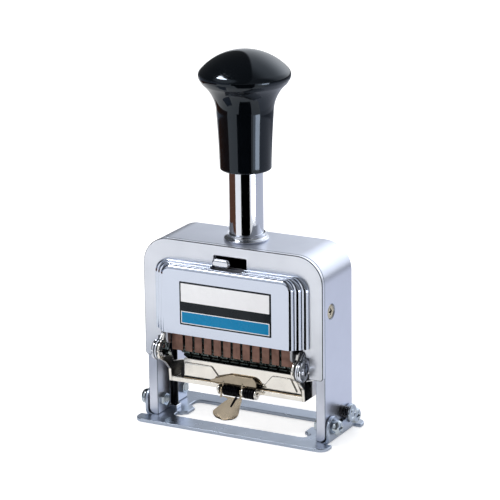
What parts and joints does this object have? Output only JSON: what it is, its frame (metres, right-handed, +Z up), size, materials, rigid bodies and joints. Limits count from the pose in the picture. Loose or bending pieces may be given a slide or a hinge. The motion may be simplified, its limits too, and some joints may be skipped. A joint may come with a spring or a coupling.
{
  "type": "hand numbering machine",
  "caption": "Hand numbering stamp: a sprung plunger with a black knob drives number wheels through a chromed frame while the ink pad swings out of the way.",
  "frame": {"origin": "on the plunger's axis, in the plane the base plate stands on", "axes": "+Z up along the plunger, -Y the front with the name cover and ink pad, +X to the right seen from the front"},
  "size_m": [0.0927, 0.0417, 0.158],
  "materials": {
    "satin_chrome": "satin chrome plate",
    "bright_chrome": "polished chrome plate",
    "screw_steel": "zinc plated",
    "brass_screw": "plain, slightly dulled",
    "enamel_plate": "printed enamel: white field, black and blue bands, no text",
    "rod_steel": "ground and oiled",
    "plated_steel": "plain plated steel",
    "spring_steel": "blackened spring wire",
    "tempered_steel": "temper-browned spring strip",
    "black_plastic": "high gloss black",
    "black_steel": "blackened and oiled",
    "nickel": "warm satin nickel plate",
    "ink_felt": "inked felt, nearly black",
    "wheel_steel": "engraved steel, ink stained"
  },
  "bodies": {
    "casing": {"frame_yoke": "satin_chrome", "front_panel": "satin_chrome", "rear_panel": "satin_chrome", "name_cover": "satin_chrome", "name_plate": "enamel_plate", "top_collar": "bright_chrome", "base_plate": "satin_chrome", "base_screws": "screw_steel", "base_washers": "screw_steel", "base_nuts": "screw_steel", "side_screws": "brass_screw", "guide_rods": "rod_steel", "rod_feet": "bright_chrome", "pivot_pins": "bright_chrome", "spring_bridge": "plated_steel", "spring_seat": "plated_steel", "return_spring": "spring_steel", "hold_spring": "spring_steel"},
    "plunger": {"handle_knob": "black_plastic", "plunger_tube": "bright_chrome", "knob_stud": "screw_steel", "plunger_foot": "plated_steel", "carriage_top": "plated_steel", "carriage_side_left": "plated_steel", "carriage_side_right": "plated_steel", "guide_shoes": "plated_steel", "wheel_shaft": "rod_steel", "shaft_clips": "screw_steel", "detent_comb": "tempered_steel", "comb_screws": "screw_steel"},
    "pad_carrier": {"pad_tray": "nickel", "pad_front": "nickel", "ink_pad": "ink_felt", "drive_pins": "screw_steel", "clip_bush": "black_steel", "clip_pin": "screw_steel", "clip_spring": "spring_steel"},
    "pad_release": {"release_lever": "nickel"},
    "pawl_swing": {"pawl_arms": "plated_steel", "pawl_rod": "rod_steel", "feed_pawls": "plated_steel"},
    "catch": {"catch_button": "satin_chrome", "catch_slide": "plated_steel"},
    "hold_down": {"hold_pin": "bright_chrome"},
    "wheel_01": {"number_wheel_01": "wheel_steel"},
    "wheel_02": {"number_wheel_02": "wheel_steel"},
    "wheel_03": {"number_wheel_03": "wheel_steel"},
    "wheel_04": {"number_wheel_04": "wheel_steel"},
    "wheel_05": {"number_wheel_05": "wheel_steel"},
    "wheel_06": {"number_wheel_06": "wheel_steel"},
    "wheel_07": {"number_wheel_07": "wheel_steel"},
    "wheel_08": {"number_wheel_08": "wheel_steel"},
    "wheel_09": {"number_wheel_09": "wheel_steel"},
    "wheel_10": {"number_wheel_10": "wheel_steel"},
    "wheel_11": {"number_wheel_11": "wheel_steel"},
    "wheel_12": {"number_wheel_12": "wheel_steel"}
  },
  "joints": [
    {"name": "plunger_slide", "type": "slide", "parent": "casing", "child": "plunger", "axis": [0, 0, -1], "range_m": [0, 0.024], "stiffness_N_per_m": 600, "springref_m": -0.01, "deforming": ["return_spring"]},
    {"name": "pad_swing", "type": "hinge", "parent": "casing", "child": "pad_carrier", "pos_m": [0, -0.01665, 0.0325], "axis": [1, 0, 0], "range_deg": [-132, 0]},
    {"name": "pawl_turn", "type": "hinge", "parent": "plunger", "child": "pawl_swing", "pos_m": [0, 0, 0.035], "axis": [1, 0, 0], "range_deg": [0, 40]},
    {"name": "pad_release_hinge", "type": "hinge", "parent": "pad_carrier", "child": "pad_release", "pos_m": [-0.0007, -0.0133, 0.0181], "axis": [1, 0, 0], "range_deg": [0, 25], "stiffness_Nm_per_rad": 0.01, "springref_deg": -20.05},
    {"name": "catch_slide_joint", "type": "slide", "parent": "casing", "child": "catch", "axis": [1, 0, 0], "range_m": [0, 0.0055]},
    {"name": "hold_down_push", "type": "slide", "parent": "casing", "child": "hold_down", "axis": [-1, 0, 0], "range_m": [0, 0.0026], "stiffness_N_per_m": 300, "springref_m": -0.002, "deforming": ["hold_spring"]},
    {"name": "wheel_01_spin", "type": "hinge", "parent": "plunger", "child": "wheel_01", "pos_m": [0, 0, 0.035], "axis": [1, 0, 0], "continuous": true},
    {"name": "wheel_02_spin", "type": "hinge", "parent": "plunger", "child": "wheel_02", "pos_m": [0, 0, 0.035], "axis": [1, 0, 0], "continuous": true},
    {"name": "wheel_03_spin", "type": "hinge", "parent": "plunger", "child": "wheel_03", "pos_m": [0, 0, 0.035], "axis": [1, 0, 0], "continuous": true},
    {"name": "wheel_04_spin", "type": "hinge", "parent": "plunger", "child": "wheel_04", "pos_m": [0, 0, 0.035], "axis": [1, 0, 0], "continuous": true},
    {"name": "wheel_05_spin", "type": "hinge", "parent": "plunger", "child": "wheel_05", "pos_m": [0, 0, 0.035], "axis": [1, 0, 0], "continuous": true},
    {"name": "wheel_06_spin", "type": "hinge", "parent": "plunger", "child": "wheel_06", "pos_m": [0, 0, 0.035], "axis": [1, 0, 0], "continuous": true},
    {"name": "wheel_07_spin", "type": "hinge", "parent": "plunger", "child": "wheel_07", "pos_m": [0, 0, 0.035], "axis": [1, 0, 0], "continuous": true},
    {"name": "wheel_08_spin", "type": "hinge", "parent": "plunger", "child": "wheel_08", "pos_m": [0, 0, 0.035], "axis": [1, 0, 0], "continuous": true},
    {"name": "wheel_09_spin", "type": "hinge", "parent": "plunger", "child": "wheel_09", "pos_m": [0, 0, 0.035], "axis": [1, 0, 0], "continuous": true},
    {"name": "wheel_10_spin", "type": "hinge", "parent": "plunger", "child": "wheel_10", "pos_m": [0, 0, 0.035], "axis": [1, 0, 0], "continuous": true},
    {"name": "wheel_11_spin", "type": "hinge", "parent": "plunger", "child": "wheel_11", "pos_m": [0, 0, 0.035], "axis": [1, 0, 0], "continuous": true},
    {"name": "wheel_12_spin", "type": "hinge", "parent": "plunger", "child": "wheel_12", "pos_m": [0, 0, 0.035], "axis": [1, 0, 0], "continuous": true}
  ],
  "couplings": [
    {"joint": "pad_swing", "follows": "plunger_slide", "rad_per_m": -95.99},
    {"joint": "pawl_turn", "follows": "plunger_slide", "rad_per_m": 29.08}
  ]
}
